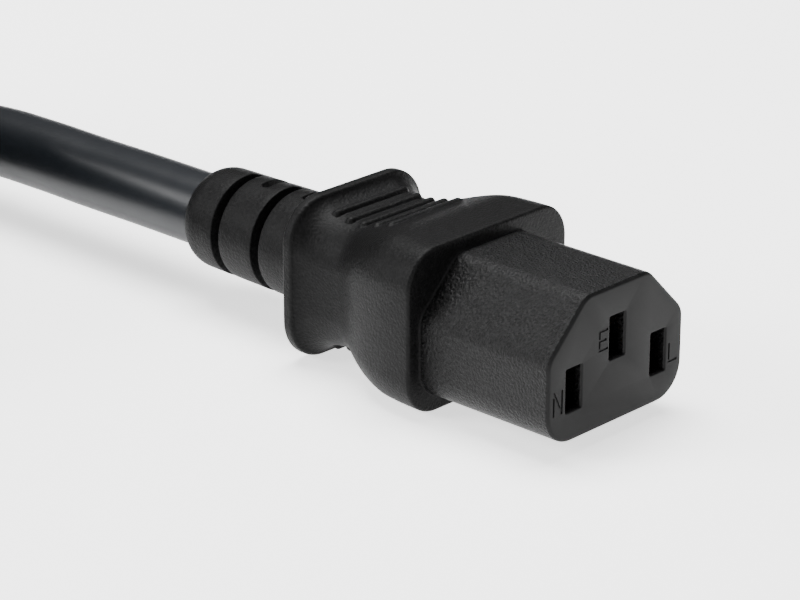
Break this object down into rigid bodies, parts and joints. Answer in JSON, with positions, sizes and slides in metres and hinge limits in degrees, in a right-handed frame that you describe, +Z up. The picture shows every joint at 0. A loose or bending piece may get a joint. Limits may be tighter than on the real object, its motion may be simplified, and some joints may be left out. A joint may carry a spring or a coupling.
{
  "type": "C13 line connector on a round mains lead",
  "caption": "Moulded black line connector with a keyed front, three contact slots, grip waist and slotted strain relief, on a round cable coiled to a supply plug.",
  "frame": {"origin": "under the middle of the connector, on the surface that it lies on; the cable, its coil and its supply plug aren't counted", "axes": "+X the way the connector plugs in, along its cable's axis; +Z up, from the two outer contacts towards the earth contact; +Y to the line contact"},
  "size_m": [0.2, 0.1355, 0.0396],
  "materials": {
    "housing": "moulded black nylon, smooth front and grained sides",
    "overmould": "soft black PVC with a fine spark-eroded grain",
    "jacket": "smooth satin black cable sheath",
    "carrier": "natural moulded nylon",
    "contact": "bright stamped brass sheet",
    "conductor": "bare stranded copper",
    "core_black": "black core insulation",
    "core_white": "white core insulation",
    "core_green": "green core insulation",
    "filler": "twisted cotton filler",
    "tie": "black hook-and-loop tape",
    "blade": "nickel-plated brass"
  },
  "bodies": {
    "root": {"nose_housing": "housing", "contact_carrier": "carrier", "line_contact": "contact", "neutral_contact": "contact", "earth_contact": "contact", "line_conductor": "conductor", "neutral_conductor": "conductor", "earth_conductor": "conductor", "line_core": "core_black", "neutral_core": "core_white", "earth_core": "core_green", "inner_mould": "carrier", "cable_jacket": "jacket", "filler_cords": "filler", "overmould": "overmould", "cable_lead": "jacket", "cable_coil": "jacket", "cable_tail": "jacket", "coil_tie": "tie", "plug_overmould": "overmould", "plug_bridge": "housing", "plug_line_blade": "blade", "plug_neutral_blade": "blade", "plug_earth_pin": "blade"}
  },
  "joints": []
}
